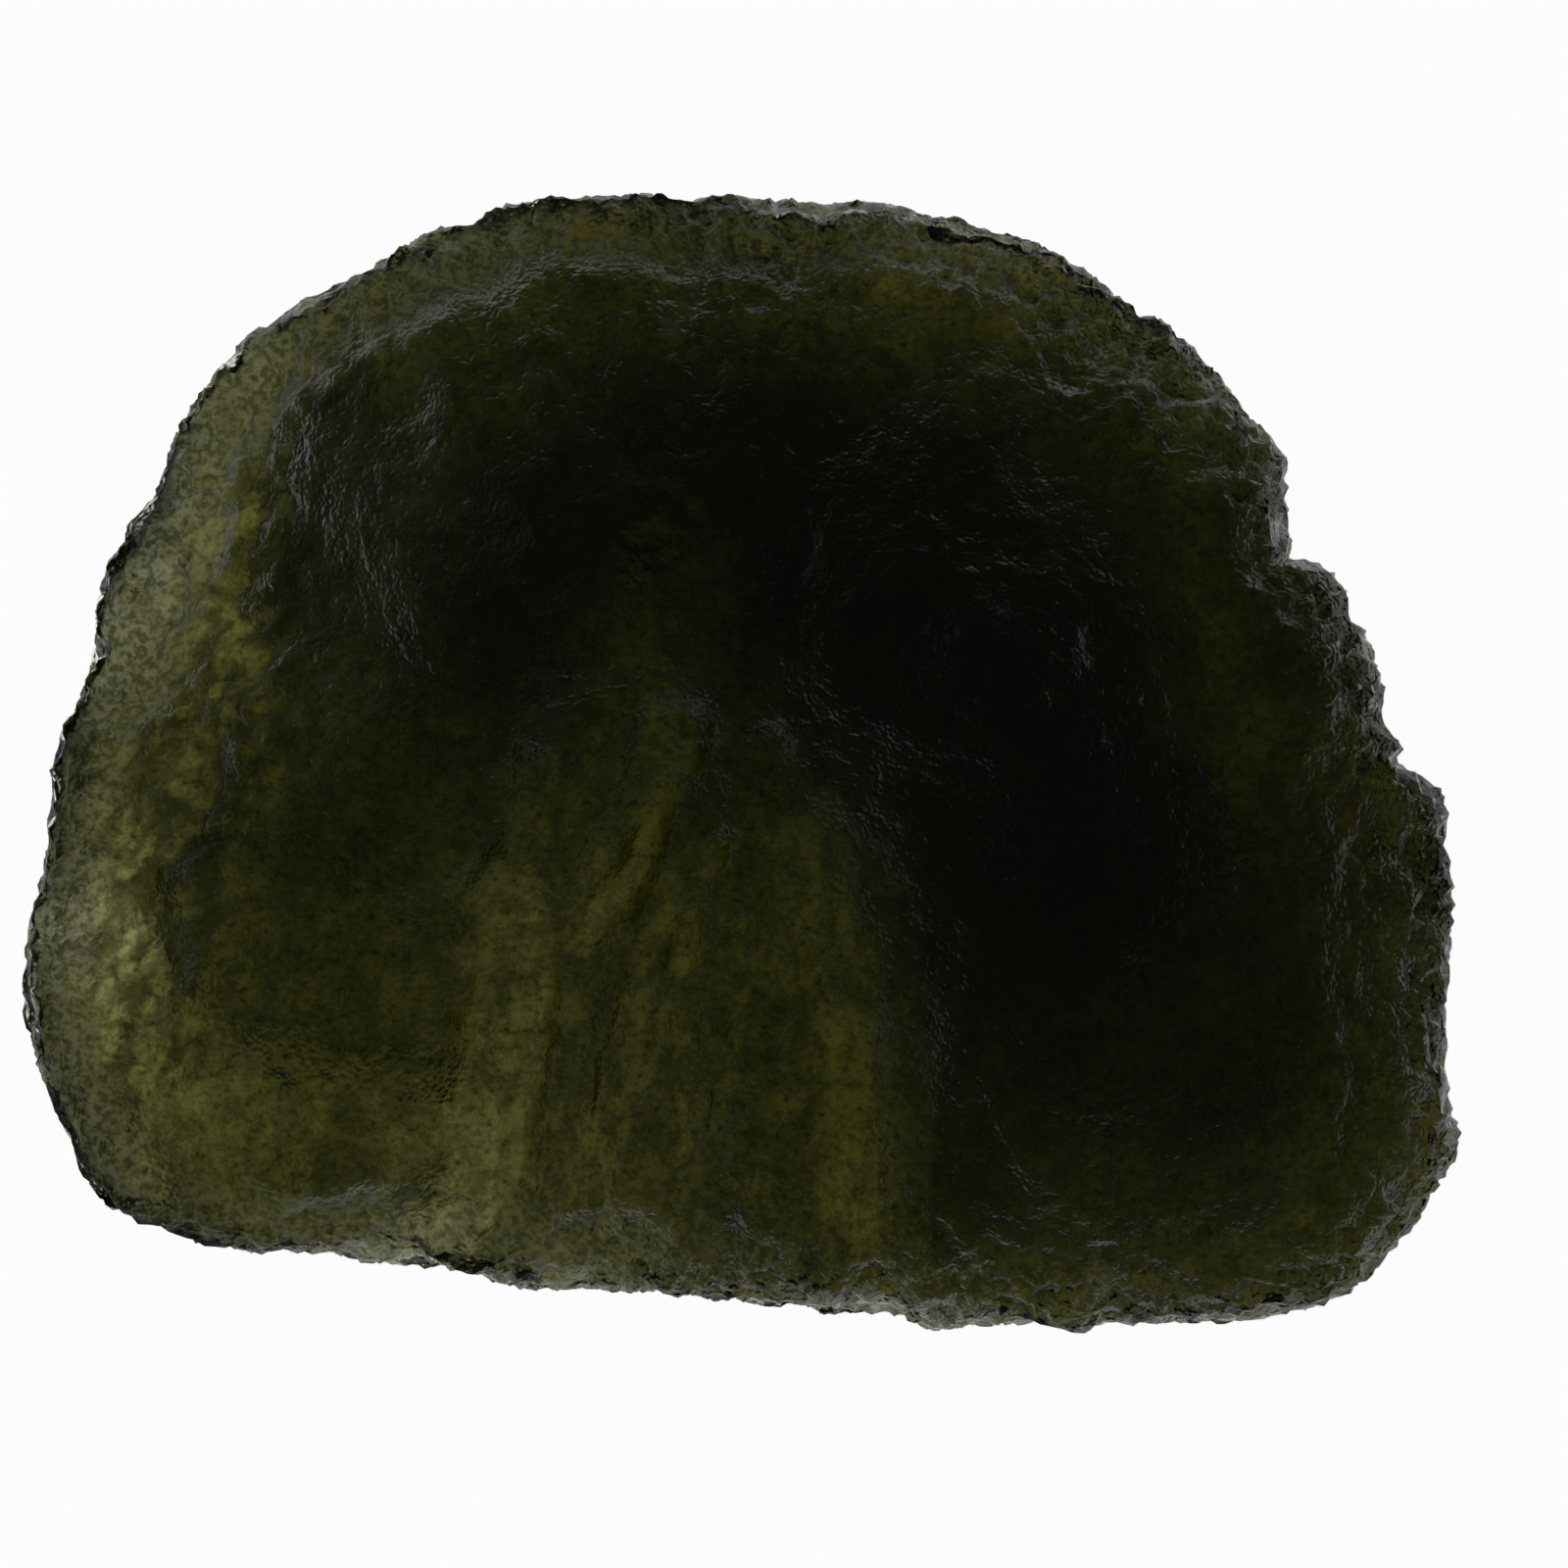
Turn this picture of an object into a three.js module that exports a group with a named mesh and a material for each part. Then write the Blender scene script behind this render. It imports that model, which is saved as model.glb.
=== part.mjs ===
import * as THREE from "three";
import { ImprovedNoise } from "three/addons/math/ImprovedNoise.js";
import { mergeVertices } from "three/addons/utils/BufferGeometryUtils.js";

// A raw moldavite: one etched, D-shaped lump of natural green glass, lying on its underside.
// Millimetres, +Z up. X runs along the straight edge, which faces -Y; the arched edge faces +Y.
// The origin is on the rest plane, under the middle of the bounding box.

const LENGTH = 30;
const WIDTH = 23.7;
const HEIGHT = 10;

// The mesh's cells: along X, along Y, and down the rim; and the step at which heights are averaged.
const CELLS = [42, 34, 13];
const SPREAD = 0.5;
// How much a height difference counts when a cell's diagonal is chosen.
const CONTOUR = 3;
// The share of the way out at which the faces pass into the rim, and how square the rim's section is.
const FACE_SHARE = 0.89;
const RIM_POWER = 4.2;

// The outline seen from above: [degrees from +X, distance from the middle].
const OUTLINE = [
  [0, 14.35],
  [10, 13.45],
  [20, 12.85],
  [30, 12.8],
  [40, 12.85],
  [50, 12.6],
  [60, 12.45],
  [75, 12.05],
  [90, 11.85],
  [100, 12.0],
  [110, 12.5],
  [120, 12.8],
  [130, 13.1],
  [142, 13.75],
  [153, 13.65],
  [165, 13.75],
  [175, 14.05],
  [185, 14.55],
  [197, 15.7],
  [211, 16.15],
  [220, 15.3],
  [230, 13.4],
  [240, 12.25],
  [250, 11.7],
  [262, 11.35],
  [275, 11.42],
  [286, 11.95],
  [297, 13.25],
  [307, 14.85],
  [317, 16.75],
  [322, 17.3],
  [330, 16.9],
  [340, 15.8],
  [350, 15.1],
];

// Notches between the lobes of the edge: degrees, half width in degrees, depth.
const NOTCHES = [
  { at: 2, half: 4.0, deep: 0.62 },
  { at: 21, half: 3.6, deep: 0.56 },
  { at: 34, half: 2.6, deep: 0.15 },
  { at: 51, half: 3.2, deep: 0.3 },
  { at: 96, half: 2.8, deep: 0.2 },
  { at: 117, half: 3.0, deep: 0.22 },
  { at: 154, half: 3.0, deep: 0.22 },
  { at: 285, half: 3.0, deep: 0.2 },
];

// How high the widest line of the edge runs: its mean, and its slow rise and fall around the stone.
const GIRDLE = { mean: 2.8, sway: 0.6, thinSide: 200, thinBy: 0.5 };

// The upper face. LEVEL is its height before anything is added or cut away.
const LEVEL = 7.3;

// Broad swells and sags of the upper face: middle, reach along and across, turn in degrees, height.
const SWELLS = [
  { name: "core", at: [5.6, 1.6], reach: [6.6, 3.9], turn: -57, high: 2.3 },
  { name: "crown", at: [1.4, 4.6], reach: [3.6, 2.2], turn: 0, high: 0.3 },
  { name: "hollow's spine", at: [0.3, -0.1], reach: [1.7, 2.4], turn: 20, high: 0.9 },
  { name: "left shoulder", at: [-4.9, 3.9], reach: [3.6, 3.2], turn: 30, high: 1.5 },
  { name: "right shoulder", at: [11.4, 4.4], reach: [3.0, 5.2], turn: 25, high: 1.5 },
  { name: "right sag", at: [9.8, 1.4], reach: [1.8, 3.6], turn: 15, high: -1.2 },
  { name: "top sag", at: [3.4, 8.0], reach: [3.6, 1.7], turn: -30, high: -0.9 },
  { name: "lower right", at: [8.6, -6.6], reach: [5.0, 3.8], turn: 0, high: 0.3 },
  { name: "basin", at: [-2.0, -6.4], reach: [3.4, 5.4], turn: 0, high: -1.5 },
  { name: "lower left", at: [-8.4, -6.4], reach: [5.2, 4.6], turn: 0, high: -1.8 },
  { name: "left sag", at: [-10.8, -2.2], reach: [3.2, 3.4], turn: 0, high: -0.9 },
  { name: "left bevel", at: [-13.2, 1.0], reach: [3.0, 9.0], turn: -8, high: -1.7 },
];

// Steps, along a path with the low side on its left: drop, width of the wall, reach of the low side,
// and the lengths over which the drop fades in at the start and out at the end.
const LEDGES = [
  {
    name: "left step",
    path: [[-9.3, 1.0], [-9.6, 3.6], [-9.2, 7.0], [-7.6, 9.0]],
    drop: 2.2,
    wall: 2.0,
    reach: 4.5,
    ends: [2.6, 2.6],
  },
  {
    name: "fan wall",
    path: [[3.9, -10.8], [4.0, -5.2], [3.5, -2.6], [2.0, -0.6], [0.7, 1.8], [-0.3, 4.6]],
    drop: 1.6,
    wall: 2.2,
    reach: 3.6,
    ends: [1.8, 7.5],
  },
  {
    name: "fan's left side",
    path: [[-1.9, 5.0], [-3.1, 3.2], [-3.6, 1.2], [-5.6, -0.6]],
    drop: 0.8,
    wall: 2.4,
    reach: 3.2,
    ends: [3.0, 2.2],
  },
];

// Flow grooves: from, to, width, depth, and how much steeper the right-hand wall is than the left.
const FLUTES = [
  { from: [-1.2, 1.0], to: [-2.9, -3.1], wide: 2.2, deep: 1.1, steep: 1.1 },
  { from: [-4.6, -3.1], to: [-5.7, -9.0], wide: 3.8, deep: 2.0, steep: 1.2 },
  { from: [-3.9, -0.4], to: [-4.7, -2.2], wide: 1.6, deep: 0.5, steep: 1 },
  { from: [2.5, -5.6], to: [2.5, -9.2], wide: 2.4, deep: 0.9, steep: 1 },
  { from: [2.0, -2.0], to: [1.9, -3.2], wide: 2.2, deep: 0.3, steep: 1 },
  { from: [-0.5, -2.4], to: [-1.4, -4.8], wide: 1.6, deep: 0.6, steep: 1 },
  { from: [-10.9, -6.0], to: [-10.8, -8.8], wide: 2.2, deep: 0.8, steep: 1 },
  { from: [-11.4, 3.0], to: [-13.0, -5.2], wide: 2.4, deep: 1.2, steep: 1 },
];

// A groove's section: the higher the first, the flatter its floor; the second rounds its lip.
const GROOVE = { floor: 2.4, lip: 1.9 };

// Raised seams: points, width and height.
const SEAMS = [
  { path: [[4.0, -5.6], [5.6, -7.8], [6.9, -9.6], [9.4, -10.6], [13.0, -10.2]], wide: 1.5, high: 0.4 },
  { path: [[4.4, -8.6], [5.6, -10.1], [6.6, -11.0]], wide: 1.3, high: 0.35 },
  { path: [[3.2, 10.0], [6.4, 9.1], [8.2, 7.9]], wide: 1.4, high: 0.4 },
  { path: [[8.0, 7.0], [9.9, 6.2], [11.4, 5.2]], wide: 1.3, high: 0.4 },
  { path: [[-6.3, 9.7], [-3.6, 10.2], [-0.6, 10.0]], wide: 1.4, high: 0.35 },
];

// The underside: its hollow height, and the three lumps worn flat that it rests on.
const HOLLOW = 0.7;
const FEET = [
  { at: [-8.4, -3.6], reach: [3.0, 2.6] },
  { at: [9.0, -4.2], reach: [3.2, 2.8] },
  { at: [1.2, 6.2], reach: [3.4, 2.6] },
];
const FOOT_HEIGHT = 1.35;

// Etching: slow lumps, and cup-shaped pits that meet in low ridges.
const LUMPS = { size: 4.2, high: 0.5 };
const PITS = { size: 2.2, deep: 0.46 };

const noise = new ImprovedNoise();
const toRadians = THREE.MathUtils.degToRad;
const { lerp, smoothstep, euclideanModulo, pingpong } = THREE.MathUtils;

// The outline's radius at an angle in degrees, notches included.
const outlineCurve = new THREE.CubicInterpolant(
  [...OUTLINE.map(([angle]) => angle), 360],
  [...OUTLINE.map(([, radius]) => radius), OUTLINE[0][1]],
  1,
);
outlineCurve.settings = {
  endingStart: THREE.WrapAroundEnding,
  endingEnd: THREE.WrapAroundEnding,
};

function outlineRadius(degrees) {
  const angle = euclideanModulo(degrees, 360);
  let radius = outlineCurve.evaluate(angle)[0];
  for (const { at, half, deep } of NOTCHES) {
    const away = pingpong(angle - at, 180) / half;
    radius -= deep * Math.exp(-away * away);
  }
  return radius;
}

// How strongly an oval swell is felt at a point: 1 at its middle, fading smoothly outwards.
function swell(x, y, { at, reach, turn = 0 }) {
  const a = toRadians(turn);
  const dx = x - at[0];
  const dy = y - at[1];
  const along = (dx * Math.cos(a) + dy * Math.sin(a)) / reach[0];
  const across = (dy * Math.cos(a) - dx * Math.sin(a)) / reach[1];
  return Math.exp(-along * along - across * across);
}

// The nearest place on a path: signed distance (positive on its left) and the way along it.
function nearPath(x, y, path) {
  let best = { away: Infinity, signed: 0, along: 0, length: 0 };
  let walked = 0;
  for (let i = 0; i + 1 < path.length; i++) {
    const [ax, ay] = path[i];
    const ux = path[i + 1][0] - ax;
    const uy = path[i + 1][1] - ay;
    const span = Math.hypot(ux, uy);
    const part = THREE.MathUtils.clamp(((x - ax) * ux + (y - ay) * uy) / (span * span), 0, 1);
    const away = Math.hypot(x - ax - part * ux, y - ay - part * uy);
    if (away < best.away) {
      const left = Math.sign(ux * (y - ay) - uy * (x - ax)) || 1;
      best = { away, signed: left * away, along: walked + part * span };
    }
    walked += span;
  }
  best.length = walked;
  return best;
}

function ledgeDepth(x, y, { path, drop, wall, reach, ends }) {
  const near = nearPath(x, y, path);
  const low = smoothstep(near.signed, -wall / 2, wall / 2);
  const fade = Math.exp(-((near.away / reach) ** 2));
  const [start, end] = ends;
  const run = smoothstep(near.along, 0, start) * smoothstep(near.length - near.along, 0, end);
  return drop * low * fade * run;
}

function fluteDepth(x, y, { from, to, wide, deep, steep }) {
  const ux = to[0] - from[0];
  const uy = to[1] - from[1];
  const span = Math.hypot(ux, uy);
  const along = (ux * (x - from[0]) + uy * (y - from[1])) / span;
  const across = (ux * (y - from[1]) - uy * (x - from[0])) / span;
  const beyond = Math.max(0, -along, along - span);
  const share = Math.hypot(beyond, across * (across > 0 ? steep : 1)) / (wide / 2);
  return share < 1 ? deep * (1 - share ** GROOVE.floor) ** GROOVE.lip : 0;
}

function seamHeight(x, y, { path, wide, high }) {
  const share = nearPath(x, y, path).away / (wide / 2);
  return high * Math.exp(-share * share);
}

const total = (list, value) => list.reduce((sum, item) => sum + value(item), 0);

// Height of the upper face, before it rolls over into the rim.
function upperFace(x, y) {
  return (
    LEVEL +
    total(SWELLS, (s) => s.high * swell(x, y, s)) -
    total(LEDGES, (s) => ledgeDepth(x, y, s)) -
    total(FLUTES, (s) => fluteDepth(x, y, s)) +
    total(SEAMS, (s) => seamHeight(x, y, s))
  );
}

// Height of the lower face. Below zero it is worn off later.
function lowerFace(x, y) {
  return HOLLOW - FOOT_HEIGHT * total(FEET, (s) => swell(x, y, s));
}

// A face's height averaged over about one cell, so that steep walls stay even.
function evened(face, x, y) {
  const near = [-SPREAD, 0, SPREAD];
  return total(near, (dx) => total(near, (dy) => face(x + dx, y + dy))) / near.length ** 2;
}

function girdleHeight(angle) {
  const { mean, sway, thinSide, thinBy } = GIRDLE;
  const thin = Math.max(0, Math.cos(angle - toRadians(thinSide)));
  return mean + sway * Math.sin(2 * angle + 1) - thinBy * thin;
}

// A point of the block's surface, carried to the stone's surface. `outward` gets the way out there.
function place(point, outward) {
  const { x: u, y: v, z: w } = point;
  const onSide = Math.max(Math.abs(u), Math.abs(v));
  let angle = 0;
  if (onSide > 0)
    angle =
      Math.abs(u) >= Math.abs(v)
        ? (Math.PI / 4) * (v / u) + (u < 0 ? Math.PI : 0)
        : Math.PI / 2 - (Math.PI / 4) * (u / v) + (v < 0 ? Math.PI : 0);
  const edge = (1 - FACE_SHARE ** RIM_POWER) ** (1 / RIM_POWER);
  const onFace = Math.abs(w) === 1;
  const out = onFace
    ? onSide * FACE_SHARE
    : (1 - Math.abs(w * edge) ** RIM_POWER) ** (1 / RIM_POWER);
  const rise = onFace ? (1 - out ** RIM_POWER) ** (1 / RIM_POWER) : Math.abs(w * edge);
  const reach = outlineRadius(THREE.MathUtils.radToDeg(angle));
  const x = out * reach * Math.cos(angle);
  const y = out * reach * Math.sin(angle);
  const girdle = girdleHeight(angle);
  const face = evened(w > 0 ? upperFace : lowerFace, x, y);
  point.set(x, y, lerp(girdle, face, rise));
  const sideways = out ** (RIM_POWER - 1) * Math.abs(face - girdle);
  const upright = rise ** (RIM_POWER - 1) * reach;
  outward.set(sideways * Math.cos(angle), sideways * Math.sin(angle), Math.sign(w) * upright);
  outward.normalize();
}

// Repeatable number from 0 to 1 for a cell of the pit pattern.
function hash(i, j, k, salt) {
  const s = Math.sin(i * 127.1 + j * 311.7 + k * 74.7 + salt * 53.3) * 43758.5453;
  return s - Math.floor(s);
}

// How deep in a pit a point lies: 1 at the bottom of a cup, 0 on the ridges between cups.
function pitShare(p) {
  const cell = p.clone().floor();
  let nearest = Infinity;
  for (let i = -1; i <= 1; i++)
    for (let j = -1; j <= 1; j++)
      for (let k = -1; k <= 1; k++) {
        const [a, b, c] = [cell.x + i, cell.y + j, cell.z + k];
        const seed = new THREE.Vector3(
          a + hash(a, b, c, 1),
          b + hash(a, b, c, 2),
          c + hash(a, b, c, 3),
        );
        nearest = Math.min(nearest, p.distanceTo(seed));
      }
  return 1 - smoothstep(nearest, 0, 0.9);
}

// How far etching moves the surface outwards at a point, before it reaches the rest plane.
function etching(p) {
  const q = p.clone().divideScalar(LUMPS.size);
  const lump = noise.noise(q.x, q.y, q.z) + 0.4 * noise.noise(2.3 * q.x, 2.3 * q.y, 2.3 * q.z + 7);
  return LUMPS.high * lump - PITS.deep * pitShare(p.clone().divideScalar(PITS.size));
}

function stoneGeometry() {
  const block = new THREE.BoxGeometry(2, 2, 2, ...CELLS);
  block.deleteAttribute("normal");
  block.deleteAttribute("uv");
  const geometry = mergeVertices(block);
  const position = geometry.attributes.position;
  const point = new THREE.Vector3();
  const outward = new THREE.Vector3();
  for (let i = 0; i < position.count; i++) {
    place(point.fromBufferAttribute(position, i), outward);
    point.addScaledVector(outward, etching(point));
    position.setXYZ(i, point.x, point.y, Math.max(0, point.z));
  }

  geometry.computeBoundingBox();
  const size = geometry.boundingBox.getSize(new THREE.Vector3());
  geometry.scale(LENGTH / size.x, WIDTH / size.y, HEIGHT / size.z);
  geometry.computeBoundingBox();
  const middle = geometry.boundingBox.getCenter(new THREE.Vector3());
  geometry.translate(-middle.x, -middle.y, -geometry.boundingBox.min.z);
  splitAlongContours(geometry);
  geometry.computeVertexNormals();
  return geometry;
}

// Each cell is split along the diagonal that keeps most to one height, so that walls run clean.
function splitAlongContours(geometry) {
  const { index } = geometry;
  const corner = (i) => new THREE.Vector3().fromBufferAttribute(geometry.attributes.position, i);
  const apart = (i, j) => {
    const step = corner(i).sub(corner(j));
    return Math.hypot(step.x, step.y, CONTOUR * step.z);
  };
  for (let i = 0; i < index.count; i += 6) {
    const [a, b, d] = [index.getX(i), index.getX(i + 1), index.getX(i + 2)];
    const c = index.getX(i + 4);
    if (apart(a, c) < apart(b, d))
      [a, b, c, a, c, d].forEach((vertex, j) => index.setX(i + j, vertex));
  }
}

function moldaviteGlass() {
  return new THREE.MeshStandardMaterial({
    color: new THREE.Color(0.13, 0.15, 0.03),
    roughness: 0.45,
    metalness: 0,
  });
}

const stone = new THREE.Mesh(stoneGeometry(), moldaviteGlass());
stone.name = "moldavite";

const part = new THREE.Group();
part.add(stone);
export default part;
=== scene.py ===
import math

import bmesh
import bpy
import numpy as np
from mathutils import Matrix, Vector, noise


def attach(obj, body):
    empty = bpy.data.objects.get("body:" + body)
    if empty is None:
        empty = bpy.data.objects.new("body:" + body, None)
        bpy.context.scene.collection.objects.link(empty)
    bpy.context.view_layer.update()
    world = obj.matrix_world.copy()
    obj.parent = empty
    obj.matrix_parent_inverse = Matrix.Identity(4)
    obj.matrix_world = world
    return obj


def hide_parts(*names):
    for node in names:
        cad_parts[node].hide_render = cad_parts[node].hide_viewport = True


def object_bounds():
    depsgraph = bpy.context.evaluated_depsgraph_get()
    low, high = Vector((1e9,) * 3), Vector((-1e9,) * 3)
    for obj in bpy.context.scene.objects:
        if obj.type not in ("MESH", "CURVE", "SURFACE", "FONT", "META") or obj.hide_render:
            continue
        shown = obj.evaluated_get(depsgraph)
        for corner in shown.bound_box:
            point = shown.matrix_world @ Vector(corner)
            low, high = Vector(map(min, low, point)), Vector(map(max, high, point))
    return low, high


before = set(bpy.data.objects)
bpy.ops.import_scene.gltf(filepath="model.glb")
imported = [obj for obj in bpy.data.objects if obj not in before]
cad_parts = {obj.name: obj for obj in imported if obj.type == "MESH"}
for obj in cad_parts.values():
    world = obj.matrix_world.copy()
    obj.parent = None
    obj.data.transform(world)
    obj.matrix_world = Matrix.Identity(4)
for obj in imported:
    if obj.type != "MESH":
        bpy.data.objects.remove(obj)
cad_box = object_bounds()
MM = 0.001

# The lump
# The stone is one piece of natural glass, splashed, chilled and then buried. Ground water etched its
# whole skin into cups with sharp ridges between them, and opened up the lines of flow in the hollow.
cad_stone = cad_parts["moldavite"]
lump = bmesh.new()
lump.from_mesh(cad_stone.data)
bmesh.ops.remove_doubles(lump, verts=lump.verts, dist=0.001 * MM)
bmesh.ops.join_triangles(
    lump,
    faces=lump.faces,
    angle_face_threshold=math.pi,
    angle_shape_threshold=math.pi,
)
lump.normal_update()

# How far out the outline lies in each direction, in millimetres.
SECTORS = 180
outer = np.array([v.co.xy for v in lump.verts]) / MM
sector = np.floor(np.arctan2(outer[:, 1], outer[:, 0]) / math.tau * SECTORS).astype(int) % SECTORS
reach = np.zeros(SECTORS)
np.maximum.at(reach, sector, np.hypot(outer[:, 0], outer[:, 1]))
reach = np.maximum(reach, np.minimum(np.roll(reach, 1), np.roll(reach, -1)))


def inside_outline(at_x, at_y):
    """How far in from the outline points lie, in millimetres."""
    middles = (np.arange(SECTORS) + 0.5) / SECTORS * math.tau
    return np.interp(np.arctan2(at_y, at_x), middles, reach, period=math.tau) - np.hypot(at_x, at_y)


# The upper face is smoothed a little.
FACE_UPWARD = 0.5
FACE_RADIUS = 11.5
FACE_PASSES = 3
SMOOTHING = 0.5
open_face = [v for v in lump.verts if v.normal.z > FACE_UPWARD and v.co.xy.length < FACE_RADIUS * MM]
for _ in range(FACE_PASSES):
    bmesh.ops.smooth_vert(lump, verts=open_face, factor=SMOOTHING, use_axis_z=True)

# The walls of the hollow are worn down until few are steeper than about 30 degrees. The rim keeps its
# shape, and where it ends wanders.
RIM_KEPT = 1.4
RIM_WANDERS = 0.8
WANDER_LENGTH = 1.5
WORN_UPWARD = 0.88
WORN_ROUND = 2
WORN_PASSES = 2
WEAR_ROUNDS = 60
inner = [
    v
    for v in lump.verts
    if inside_outline(v.co.x / MM, v.co.y / MM)
    > RIM_KEPT + RIM_WANDERS * noise.noise(v.co / (WANDER_LENGTH * MM))
]
for _ in range(WEAR_ROUNDS):
    lump.normal_update()
    steep = {v for v in inner if 0 < v.normal.z < WORN_UPWARD}
    for _ in range(WORN_ROUND):
        steep |= {edge.other_vert(v) for v in steep for edge in v.link_edges}
    for _ in range(WORN_PASSES):
        bmesh.ops.smooth_vert(lump, verts=list(steep), factor=SMOOTHING, use_axis_z=True)
mesh = bpy.data.meshes.new("moldavite_lump")
lump.to_mesh(mesh)
lump.free()
stone = bpy.data.objects.new("moldavite_lump", mesh)
bpy.context.scene.collection.objects.link(stone)
rounding = stone.modifiers.new("rounding", "SUBSURF")
rounding.levels = rounding.render_levels = 2
rounded = stone.evaluated_get(bpy.context.evaluated_depsgraph_get())
mesh = bpy.data.meshes.new_from_object(rounded)
stone.modifiers.clear()
stone.data = mesh
mesh.name = "moldavite_lump"

# Where each point of the skin lies, in millimetres, and how it faces.
count = len(mesh.vertices)
skin = np.empty(count * 3)
facing = np.empty(count * 3)
mesh.vertices.foreach_get("co", skin)
mesh.vertices.foreach_get("normal", facing)
skin = skin.reshape(count, 3) / MM
facing = facing.reshape(count, 3)
x, y, z = skin.T
bearing = np.arctan2(y, x)
out = np.hypot(x, y)


def ease(low, high, value):
    """0 below low, 1 above high, and a smooth rise between them."""
    share = np.clip((value - low) / (high - low), 0, 1)
    return share * share * (3 - 2 * share)


def cloud(points, shift=0.0):
    """Smooth noise from about -1 to 1, one lump to a unit."""
    return np.array([noise.noise(Vector(p)) for p in points + shift])


def cups(points, shift=0.0):
    """Etched cups, one to a unit: 0 on the sharp ridges between them, 1 on their floors."""
    near = [noise.voronoi(Vector(p))[0] for p in points + shift]
    return ease(0.0, 0.55, np.array([d[1] - d[0] for d in near]))


def patches(points):
    """An uneven number from about -1 to 1 for each block of space, one block to a unit."""
    return 2 * np.array([noise.cell(Vector(p)) for p in points]) - 1


def beside_line(path):
    """Seen from above, how far each point lies to the left of a line and along it, and its length."""
    away = np.full(count, np.inf)
    side = np.zeros(count)
    along = np.zeros(count)
    walked = 0.0
    for (ax, ay), (bx, by) in zip(path, path[1:]):
        ux, uy = bx - ax, by - ay
        span = math.hypot(ux, uy)
        part = np.clip(((x - ax) * ux + (y - ay) * uy) / span**2, 0, 1)
        gap = np.hypot(x - ax - part * ux, y - ay - part * uy)
        nearer = gap < away
        side = np.where(nearer, np.sign(ux * (y - ay) - uy * (x - ax)) * gap, side)
        along = np.where(nearer, walked + part * span, along)
        away = np.minimum(away, gap)
        walked += span
    return side, along, walked


def from_line(path):
    """How far each point lies, seen from above, from a line through the given points."""
    return np.abs(beside_line(path)[0])


# Slow wandering, so that no pattern runs straight.
SLOW_LENGTH = 1.7
QUICK_LENGTH = 0.55
BEND = 0.35
wander = np.stack([cloud(skin / SLOW_LENGTH, 5.0 + 9.0 * axis) for axis in range(3)], axis=1)
jitter = cloud(skin / QUICK_LENGTH, 33.0)
bent = skin + BEND * wander

# How far in from the outline each point lies, and the rim: the band that is rubbed and scaly.
inset = inside_outline(x, y)
rolled = ease(0.9, 0.45, np.abs(facing[:, 2])) * ease(3.4, 2.2, inset)
rim = np.maximum(ease(1.9, 0.6, inset + 0.5 * wander[:, 0]), rolled)
upper = ease(0.0, 0.4, facing[:, 2])

# The broad etching: cups of three sizes, shallow on the faces and sharp on the rim.
LARGE_CUP, SMALL_CUP, GRAIN = 1.5, 0.68, 0.4
large_cups = cups(bent / LARGE_CUP)
small_cups = cups(bent / SMALL_CUP, 20.0)
grains = cups(bent / GRAIN, 40.0)
depth = (0.03 + 0.09 * rim) * large_cups + (0.045 + 0.15 * rim) * small_cups
depth += (0.04 + 0.07 * rim) * grains

# Scales lie over each other round the rim like shingles. Each one faces up, and its lip stands over
# the next one down.
SCALE_STEP = 0.9
SCALE_DEEP = 0.22
MOST_RUBBED = math.radians(160)
row = -(inset + z) / SCALE_STEP + 1.2 * cloud(skin / 1.3, 71.0) + 0.5 * jitter
row += 0.8 * patches(bent / 0.8)
lip = row - np.floor(row)
rubbed = 0.5 + 0.5 * np.cos(bearing - MOST_RUBBED)
scaly = ease(0.98, 0.8, facing[:, 2]) * ease(3.2, 1.8, inset)
scaly *= (0.4 + 0.6 * upper) * (1 - 0.6 * rubbed)
depth += SCALE_DEEP * scaly * (1 - lip)

# The steep walls further in are stepped in the same way, in finer steps.
WALL_STEP = 0.5
WALL_DEEP = 0.04
wall_row = -z / WALL_STEP + 0.8 * cloud(skin / 0.9, 75.0) + 0.9 * jitter
wall_lip = wall_row - np.floor(wall_row)
walled = ease(0.92, 0.8, facing[:, 2]) * upper * ease(2.0, 3.0, inset)
depth *= 1 - 0.5 * walled
depth += WALL_DEEP * walled * (1 - wall_lip)

# Lobes of the outline: degrees, half width in degrees and how far each stands out, with small teeth.
LOBES = [
    (358, 3, 0.25),
    (1.5, 1.5, 0.25),
    (0.3, 0.7, -0.35),
    (18, 3, 0.25),
    (20.4, 0.7, -0.35),
    (34, 4, 0.25),
    (42, 3, -0.2),
    (52, 3, 0.2),
    (70, 5, -0.25),
    (84, 6, 0.2),
    (106, 5, 0.15),
    (119, 4, 0.2),
    (140, 8, 0.15),
    (166, 9, 0.4),
    (189, 4, -0.3),
    (225, 22, 0.2),
    (207, 3, -0.25),
    (246, 7, 0.15),
    (267, 11, 0.3),
    (285, 9, 0.15),
    (298, 4, 0.15),
    (309, 4, 0.25),
    (336, 4, 0.1),
    (345, 4, 0.2),
]
SWELL = 0.15
TEETH = 0.2
ROUND_RADIUS = 17.0
ROUND_HEIGHT = 2.5
round_way = np.stack(
    [ROUND_RADIUS * np.cos(bearing), ROUND_RADIUS * np.sin(bearing), z / ROUND_HEIGHT],
    axis=1,
)
stands_out = SWELL - TEETH * np.clip(cloud(round_way, 83.0), 0, 1)
for degrees, half, far in LOBES:
    turned = (np.degrees(bearing) - degrees + 180) % 360 - 180
    stands_out += far * np.exp(-((turned / half) ** 2))
stands_out *= ease(1.6, 0.5, inset)

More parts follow.
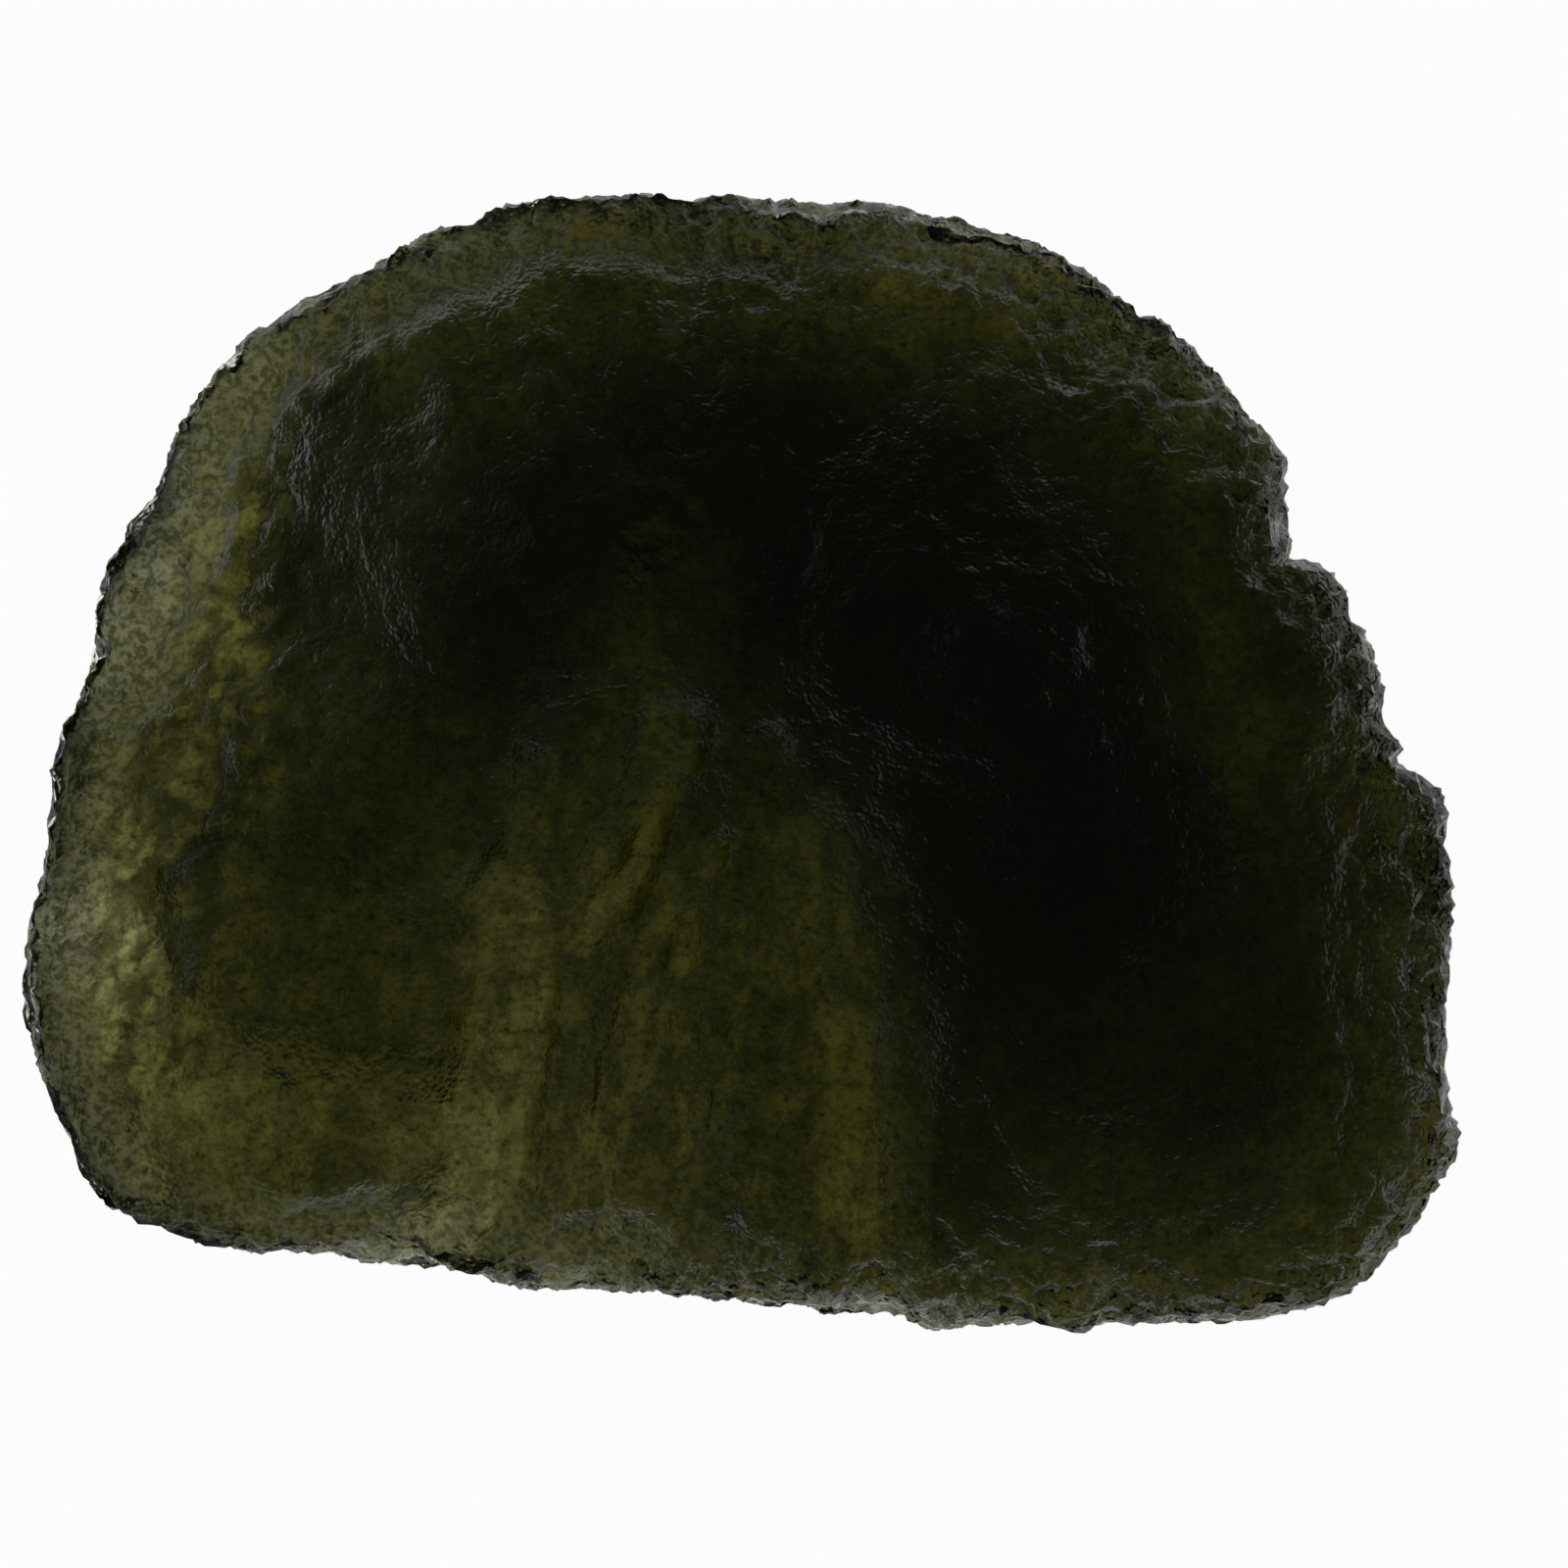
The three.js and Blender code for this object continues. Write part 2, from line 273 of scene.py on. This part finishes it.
# The thin left edge: crumpled flakes that lean to the upper right.
LEFT_FOLDS = [(-9.6, 8.4), (-10.8, 4.6), (-10.9, 1.4), (-12.2, -2.0), (-12.9, -5.4)]
LEAN = math.radians(62)
folded = ease(2.2, 1.2, from_line(LEFT_FOLDS) + 0.5 * wander[:, 1]) * upper
along_fold = x * math.cos(LEAN) + y * math.sin(LEAN) + 0.9 * wander[:, 2] + 0.25 * jitter
across_fold = y * math.cos(LEAN) - x * math.sin(LEAN) + 0.7 * wander[:, 0] + 0.2 * jitter
folds = cups(np.column_stack([along_fold / 0.95, across_fold / 0.42, z / 3.0]), 60.0)
depth += folded * (0.1 * jitter - 0.12 * folds)

# The hollow: lines of flow, fanning out from its narrow end towards the straight edge, over slower
# streaks of thicker and thinner glass.
hollow = ease(3.6, 2.6, x) * ease(-8.6, -6.4, x) * ease(2.5, 0.0, y) * ease(-11.2, -9.8, y) * upper
fan = x - 0.2 * y + 0.25 * wander[:, 0]
flow_lines = np.abs(cloud(np.column_stack([fan / 0.6, y / 3.0, np.zeros(count)]), 31.0))
flow_lines = np.clip(flow_lines / 0.45, 0, 1)
streaks = cloud(np.column_stack([fan / 1.1, y / 2.6, np.zeros(count)]), 37.0)
mid_hollow = ease(-4.6, -3.2, x - 0.2 * y) * ease(0.6, -0.8, x - 0.2 * y)
sunk = hollow * ((0.05 + 0.08 * mid_hollow) * flow_lines + 0.2 * streaks)

# Two lines along which the glass turns dark at once: the line with the pale side on its left, how
# much darker the other side is, how far that reaches, and how it fades in and out.
TURNS = [
    ([(-9.3, 1.0), (-9.6, 3.6), (-9.2, 7.0), (-7.6, 9.0)], 1.3, 2.2, (2.0, 2.0)),
    (
        [(3.9, -10.8), (4.0, -5.2), (3.5, -2.6), (2.0, -0.6), (0.7, 1.8), (-0.3, 4.6)],
        0.9,
        1.8,
        (1.0, 7.5),
    ),
]
turning = np.zeros(count)
for line, strength, reach_out, (start, end) in TURNS:
    side, along, length = beside_line(line)
    run = ease(0, start, along) * ease(0, end, length - along) * np.exp(-((side / reach_out) ** 2))
    turning += strength * run * (2 * ease(-0.2, 0.2, side + 0.25 * jitter + 0.2 * wander[:, 0]) - 1)

# Grooves and lenses of paler glass: the line of each, its half width, its depth and how pale it is.
GROOVES = [
    ([(-4.85, -2.9), (-4.9, -5.0), (-5.2, -7.4), (-5.9, -9.7)], 1.0, 0.25, 0.3),
    ([(-4.2, -3.2), (-4.1, -5.0), (-4.5, -7.2), (-5.2, -9.3)], 0.32, 0.15, 0.4),
    ([(-6.3, -7.6), (-6.6, -9.6)], 1.0, 0.15, 0.08),
    ([(-1.3, 0.6), (-2.1, -1.4), (-3.0, -3.0)], 0.8, 0.2, 0.1),
    ([(-1.1, 0.1), (-2.0, -1.9), (-3.3, -3.7)], 0.34, 0.2, 0.5),
    ([(-4.2, -0.2), (-4.5, -1.8)], 0.55, 0.2, 0.1),
    ([(-1.0, -3.2), (-1.15, -4.2)], 0.3, 0.25, 0.5),
    ([(-1.35, -3.0), (-2.1, -4.2)], 0.26, 0.2, 0.4),
    ([(-0.4, -1.7), (-0.6, -2.2)], 0.24, 0.2, 0.2),
    ([(0.1, -3.4), (0.0, -3.9)], 0.22, 0.2, 0.2),
    ([(-2.1, -4.9), (-2.9, -7.7), (-3.0, -9.6)], 0.4, 0.25, 0.15),
    ([(-1.65, -5.2), (-2.3, -7.1)], 0.28, 0.2, 0.15),
    ([(2.35, -5.9), (2.45, -8.8)], 0.85, 0.15, 0.28),
    ([(1.7, -1.9), (1.75, -3.5)], 0.85, 0.12, 0.13),
]
pale = np.zeros(count)
for line, half, deep, paler in GROOVES:
    near = from_line(line) / half + 0.25 * wander[:, 1] + 0.2 * jitter
    sunk += deep * ease(1.2, 0.4, near) * upper
    pale = np.maximum(pale, paler * ease(1.05, 0.8, near) * upper)

# Single pits: middle, half length along X and Y, depth.
PITS = [
    ((0.6, 0.3), (0.6, 0.55), 0.16),
    ((-6.3, -5.4), (0.3, 0.3), -0.25),
    ((-9.6, -6.9), (0.5, 0.45), 0.2),
    ((-12.8, -4.0), (1.6, 3.0), 0.55),
    ((7.4, 2.4), (0.5, 0.6), 0.12),
]
for (px, py), (half_x, half_y), deep in PITS:
    away = np.hypot((x - px) / half_x, (y - py) / half_y)
    sunk += deep * ease(1.0, 0.5, away + 0.1 * wander[:, 2]) * upper

# Sharp raised seams, mostly towards the lower right corner and the upper right edge.
SEAMS = [
    [(4.2, -5.0), (5.1, -6.6), (5.9, -8.3), (7.2, -9.6), (9.0, -10.7)],
    [(3.7, -8.6), (5.0, -10.3), (6.3, -11.2)],
    [(8.0, -11.0), (10.1, -10.3), (12.9, -10.3)],
    [(8.0, 8.0), (8.3, 7.0), (9.4, 6.2), (10.9, 5.6)],
    [(2.8, 10.2), (5.0, 9.8), (6.9, 8.6)],
    [(11.9, -3.6), (12.4, -6.2), (12.2, -8.4)],
]
seamed = np.zeros(count)
for line in SEAMS:
    near = from_line(line) + 0.3 * wander[:, 0] + 0.25 * jitter + 0.1 * grains
    seamed = np.maximum(seamed, ease(0.45, 0.05, np.abs(near)) * upper)
seamed *= np.clip(0.6 + 0.8 * jitter, 0, 1)
SEAM_HIGH = 0.12
depth -= SEAM_HIGH * seamed

# The rubbed part of the rim is lower. The underside is smoother, and the worn spots that it rests on
# stay flat.
RUBBED_DOWN = 0.45
SMOOTHER_BELOW = 0.6
FLAT_HEIGHT = 0.35
sunk += RUBBED_DOWN * rubbed * ease(1.9, 0.9, inset) * upper
depth *= 1 - SMOOTHER_BELOW * ease(-0.3, -0.7, facing[:, 2])
flat_below = ease(0.0, FLAT_HEIGHT, z)
skin -= facing * (flat_below * depth)[:, None]
skin[:, 2] -= flat_below * sunk
skin[:, :2] *= (1 + stands_out / np.maximum(out, 1.0))[:, None]
skin[:, 2] = np.maximum(skin[:, 2], 0)

# The etched skin fills the same box as the solid.
low, high = skin.min(axis=0), skin.max(axis=0)
cad_low, cad_high = np.array(cad_box[0]) / MM, np.array(cad_box[1]) / MM
skin = cad_low + (skin - low) / (high - low) * (cad_high - cad_low)
mesh.vertices.foreach_set("co", (skin * MM).ravel())
mesh.update()
mesh.shade_smooth()

# Broad areas of paler glass: middle, reach along X and Y, and how pale it is.
PALE_GLASS = [
    ((-12.8, -4.0), (0.9, 2.0), 0.6),
    ((-11.2, 0.6), (1.6, 5.0), 0.24),
    ((-3.4, 10.8), (1.3, 0.5), 0.5),
    ((-10.9, -8.0), (2.4, 3.0), 0.22),
    ((-8.3, -4.6), (2.0, 2.6), 0.08),
    ((0.2, -7.0), (2.2, 3.0), 0.06),
    ((8.1, -3.8), (2.2, 2.4), 0.08),
    ((-1.1, -10.7), (3.0, 0.8), -0.1),
    ((1.9, 9.2), (4.2, 1.5), 0.35),
    ((-1.6, 3.6), (1.1, 2.0), 0.3),
    ((9.6, 1.5), (1.2, 2.6), 0.15),
]

# The darkest glass lies in a horseshoe round the hollow: the line of each arm and its half width.
DARK_GLASS = [
    ([(-4.8, 2.8), (-3.9, 4.7), (-2.0, 6.2), (0.6, 6.7), (2.6, 5.6)], 1.2),
    ([(2.9, 4.4), (5.3, 1.7), (6.8, -1.8)], 2.6),
]
dark = np.zeros(count)
for line, half in DARK_GLASS:
    near = (from_line(line) + 0.4 * wander[:, 0] + 0.25 * jitter) / half
    dark = np.maximum(dark, ease(1.12, 0.94, near))

# Kept for the glass: how light its skin is, with painted light in it, where it is worn grey with a
# painted sheen, and where grains of soil have stayed. Crevices are painted dark as shade and ridges
# painted light as highlights, most towards the left.
ridges = 1 - 0.45 * small_cups - 0.3 * grains - 0.25 * (1 - lip)
mottled = 0.8 * jitter + 0.5 * cloud(skin / 1.1, 51.0) + 0.4 * patches(bent / 0.4)
flakes = patches(np.column_stack([along_fold / 0.65, across_fold / 0.33, z / 2.0]))
for (px, py), (half_x, half_y), paler in PALE_GLASS:
    pale += paler * np.exp(-(((x - px) / half_x) ** 2) - ((y - py) / half_y) ** 2)
PLAIN_SKIN = 0.24
DARKEST_SKIN = 0.05
tone_and_painted_light = np.maximum(PLAIN_SKIN + pale, DARKEST_SKIN) * np.exp(0.7 * mottled)
thread = cloud(np.column_stack([fan / 0.36, y / 2.0, np.zeros(count)]), 43.0)
tone_and_painted_light *= np.exp(0.9 * hollow * thread + turning) * (1 - 0.55 * dark)
# Painted highlight and shade on the left edge: the raised flakes lighter, the creases between them
# darker.
tone_and_painted_light *= np.exp(folded * (0.8 * flakes + 1.6 * (folds - 0.5) + 0.2 * mottled + 0.1))
# On the rim the ridges are painted lighter as highlights and the cups darker as shade, most on the
# left.
tone_and_painted_light += rim * (ridges - 0.5) * (0.3 + 0.8 * rubbed)
# The raised seams are painted lighter, a painted highlight.
tone_and_painted_light = np.clip(tone_and_painted_light + 0.2 * seamed, 0, 1)
# The rubbed left rim turns grey, partly wear and partly a painted grey sheen, greyest on its ridges.
wear_and_sheen = rubbed * ease(1.9, 1.1, inset + 0.4 * wander[:, 1] + 0.3 * jitter) * upper
wear_and_sheen *= np.clip(0.7 + 0.7 * jitter + 0.9 * (ridges - 0.6), 0, 1)
SOIL = [((-0.87, 5.26), 0.22), ((-3.22, 11.07), 0.3), ((-8.89, 8.17), 0.26), ((12.6, -1.2), 0.2)]
soil = np.zeros(count)
for (sx, sy), reach in SOIL:
    away = np.hypot(x - sx, y - sy) + 0.08 * wander[:, 2]
    soil = np.maximum(soil, ease(reach, 0.4 * reach, away) * ease(0.0, 0.3, facing[:, 2]))
for name, values in {"tone_and_painted_light": tone_and_painted_light, "wear_and_sheen": wear_and_sheen, "rim": rim, "soil": soil}.items():
    mesh.attributes.new(name, "FLOAT", "POINT").data.foreach_set("value", values)


class Wire:
    """A socket of the finish. Adding or multiplying it adds a Math node."""

    def __init__(self, socket):
        self.socket = socket

    def node(self, kind, settings, sockets, output=0):
        tree = self.socket.id_data
        made = tree.nodes.new(kind)
        for name, value in settings.items():
            setattr(made, name, value)
        for name, value in sockets.items():
            if isinstance(value, Wire):
                tree.links.new(value.socket, made.inputs[name])
            else:
                made.inputs[name].default_value = value
        return Wire(made.outputs[output]) if made.outputs else None

    def math(self, operation, first, second):
        return self.node("ShaderNodeMath", {"operation": operation}, {0: first, 1: second})

    def __add__(self, other):
        return self.math("ADD", self, other)

    def __sub__(self, other):
        return self.math("SUBTRACT", self, other)

    def __rsub__(self, other):
        return self.math("SUBTRACT", other, self)

    def __mul__(self, other):
        return self.math("MULTIPLY", self, other)

    __radd__ = __add__
    __rmul__ = __mul__


# The glass
# Moldavite is clear olive glass that looks nearly black where it is thick. Its skin is waxy with
# fine pitting. Raised grains are painted paler and the hollows between them darker, a painted glint
# and shade, and it is greyer where the ridges and the rim are rubbed, partly wear and partly a painted
# sheen.
glass = bpy.data.materials.new("moldavite_glass")
glass.use_nodes = True
glass.node_tree.nodes.clear()
place = Wire(glass.node_tree.nodes.new("ShaderNodeTexCoord").outputs["Object"])
in_mm = place.node("ShaderNodeMapping", {}, {"Vector": place, "Scale": (1000, 1000, 1000)})
tone_and_painted_light_fac = place.node("ShaderNodeAttribute", {"attribute_name": "tone_and_painted_light"}, {}, "Fac")
wear_and_sheen_fac = place.node("ShaderNodeAttribute", {"attribute_name": "wear_and_sheen"}, {}, "Fac")
soiled = place.node("ShaderNodeAttribute", {"attribute_name": "soil"}, {}, "Fac")
GRAINS_PER_MM = 5.5
GRAIN_DEEP = 0.05
grain_and_glint = place.node(
    "ShaderNodeTexNoise",
    {},
    {"Vector": in_mm, "Scale": GRAINS_PER_MM, "Detail": 1.0, "Roughness": 0.8},
    "Fac",
)
edge = place.node("ShaderNodeAttribute", {"attribute_name": "rim"}, {}, "Fac")
relief = place.node(
    "ShaderNodeBump",
    {},
    {"Strength": 1.0, "Distance": GRAIN_DEEP * MM, "Height": grain_and_glint * (edge * 2.0 + 1.0)},
    "Normal",
)
DARK_SKIN, PALE_SKIN = (0.03, 0.03, 0.01, 1.0), (1.0, 0.99, 0.78, 1.0)
# The skin runs from dark to pale glass. Raised grains are painted paler and the hollows between them
# darker, a painted glint and shade.
clean = place.node(
    "ShaderNodeMix",
    {"data_type": "RGBA"},
    {"Factor": tone_and_painted_light_fac * (grain_and_glint * 3.6 - 0.8), 6: DARK_SKIN, 7: PALE_SKIN},
    2,
)
# Grey of the rubbed rim, pale on raised grains and dark between them: partly wear, partly painted
# glints and shade.
GRIT_SHADE, GRIT_GLINT = (0.12, 0.12, 0.15, 1.0), (0.64, 0.65, 1.0, 1.0)
worn_grit_and_glints = place.node(
    "ShaderNodeMix",
    {"data_type": "RGBA"},
    {"Factor": grain_and_glint * 6.0 - 2.5, 6: GRIT_SHADE, 7: GRIT_GLINT},
    2,
)
rubbed_skin_and_sheen = place.node(
    "ShaderNodeMix",
    {"data_type": "RGBA"},
    {"Factor": wear_and_sheen_fac, 6: clean, 7: worn_grit_and_glints},
    2,
)
SOIL_COLOUR = (0.9, 0.5, 0.3, 1.0)
tint = place.node(
    "ShaderNodeMix",
    {"data_type": "RGBA"},
    {"Factor": soiled, 6: rubbed_skin_and_sheen, 7: SOIL_COLOUR},
    2,
)
surface = place.node(
    "ShaderNodeBsdfPrincipled",
    {},
    {
        "Base Color": tint,
        "Roughness": 0.14 + tone_and_painted_light_fac * 0.2 + wear_and_sheen_fac * 0.45,
        "IOR": 1.49,
        "Transmission Weight": 1.0,
        "Normal": relief,
    },
)
GREEN_PER_MM = 0.55
RED_PER_MM = 0.56
BLUE_PER_MM = 0.9
STRONGEST = 0.95
inside = place.node(
    "ShaderNodeVolumeAbsorption",
    {},
    {
        "Color": (
            1 - RED_PER_MM / STRONGEST,
            1 - GREEN_PER_MM / STRONGEST,
            1 - BLUE_PER_MM / STRONGEST,
            1.0,
        ),
        "Density": STRONGEST / MM,
    },
)
place.node("ShaderNodeOutputMaterial", {}, {"Surface": surface, "Volume": inside})
mesh.materials.clear()
mesh.materials.append(glass)
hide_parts("moldavite")
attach(stone, "root")

# The table top
# A wide sheet of plain white paper on a light table, so that light also comes up through the stone.
# The lit part is a little wider than the picture, and the table is dimmer further out.
PAPER_HALF_WIDTH = 6000.0
PAPER_GAP = 0.03
paper_shape = bmesh.new()
bmesh.ops.create_grid(paper_shape, x_segments=1, y_segments=1, size=PAPER_HALF_WIDTH * MM)
bmesh.ops.translate(paper_shape, verts=paper_shape.verts, vec=(0, 0, -PAPER_GAP * MM))
paper_mesh = bpy.data.meshes.new("paper")
paper_shape.to_mesh(paper_mesh)
paper_shape.free()
paper = bpy.data.objects.new("paper", paper_mesh)
bpy.context.scene.collection.objects.link(paper)
white = bpy.data.materials.new("white_paper")
white.use_nodes = True
white_surface = white.node_tree.nodes["Principled BSDF"]
white_surface.inputs["Base Color"].default_value = (0.5, 0.5, 0.5, 1.0)
white_surface.inputs["Emission Strength"].default_value = 0.95
white_surface.inputs["Specular IOR Level"].default_value = 0.0
LIT_RADIUS, DIM_RADIUS, DIM_SHARE = 23.5, 42.0, 0.35
spot = Wire(white.node_tree.nodes.new("ShaderNodeTexCoord").outputs["Object"])
from_middle = spot.node("ShaderNodeVectorMath", {"operation": "LENGTH"}, {0: spot}, "Value")
shine = spot.node(
    "ShaderNodeMapRange",
    {"interpolation_type": "SMOOTHSTEP"},
    {
        "Value": from_middle,
        "From Min": LIT_RADIUS * MM,
        "From Max": DIM_RADIUS * MM,
        "To Min": 1.0,
        "To Max": DIM_SHARE,
    },
)
white.node_tree.links.new(shine.socket, white_surface.inputs["Emission Color"])
paper_mesh.materials.append(white)

# The studio
# Soft boxes stand low round the table, so that the flat upper face mirrors only the dark overhead and
# the rim catches the light. The room is dim, and darkest overhead.
SOFT_BOXES = {
    "key": {"bearing": 155, "height": 22, "side": 0.5, "power": 0.04},
    "fill": {"bearing": 300, "height": 18, "side": 0.5, "power": 0.02},
}
AWAY = 0.7
for name, box in SOFT_BOXES.items():
    lamp = bpy.data.lights.new(name, "AREA")
    lamp.size = box["side"]
    lamp.energy = box["power"]
    turn, rise = math.radians(box["bearing"]), math.radians(box["height"])
    towards = Vector((math.cos(turn) * math.cos(rise), math.sin(turn) * math.cos(rise), math.sin(rise)))
    holder = bpy.data.objects.new(name, lamp)
    holder.location = towards * AWAY
    holder.rotation_euler = towards.to_track_quat("Z", "Y").to_euler()
    bpy.context.scene.collection.objects.link(holder)

room = bpy.data.worlds.new("room")
room.use_nodes = True
room.node_tree.nodes.clear()
way = Wire(room.node_tree.nodes.new("ShaderNodeTexCoord").outputs["Generated"])
upward = way.node("ShaderNodeSeparateXYZ", {}, {"Vector": way}, "Z")
glow = way.node(
    "ShaderNodeMapRange",
    {"interpolation_type": "SMOOTHSTEP"},
    {"Value": upward, "From Min": 0.0, "From Max": 0.5, "To Min": 0.09, "To Max": 0.045},
)
backdrop = way.node("ShaderNodeBackground", {}, {"Color": (1.0, 1.0, 1.0, 1.0), "Strength": glow})
way.node("ShaderNodeOutputWorld", {}, {"Surface": backdrop})
bpy.context.scene.world = room
bpy.context.scene.view_settings.view_transform = "Standard"
bpy.context.scene.cycles.max_bounces = 4

# The camera
# It looks straight down on the stone from a quarter of a metre, as the photograph does.
CAMERA_HEIGHT = 250.0
EDGE_HEIGHT = 2.8
FRAME_WIDTH = 32.72
FRAME_MIDDLE = (0.93, -0.42)
camera = bpy.data.objects.new("camera", bpy.data.cameras.new("camera"))
camera.location = (FRAME_MIDDLE[0] * MM, FRAME_MIDDLE[1] * MM, CAMERA_HEIGHT * MM)
camera.data.sensor_width = 36.0
camera.data.lens = 36.0 * (CAMERA_HEIGHT - EDGE_HEIGHT) / FRAME_WIDTH
camera.data.clip_start = 0.01
camera.data.clip_end = 50.0
bpy.context.scene.collection.objects.link(camera)
bpy.context.scene.camera = camera
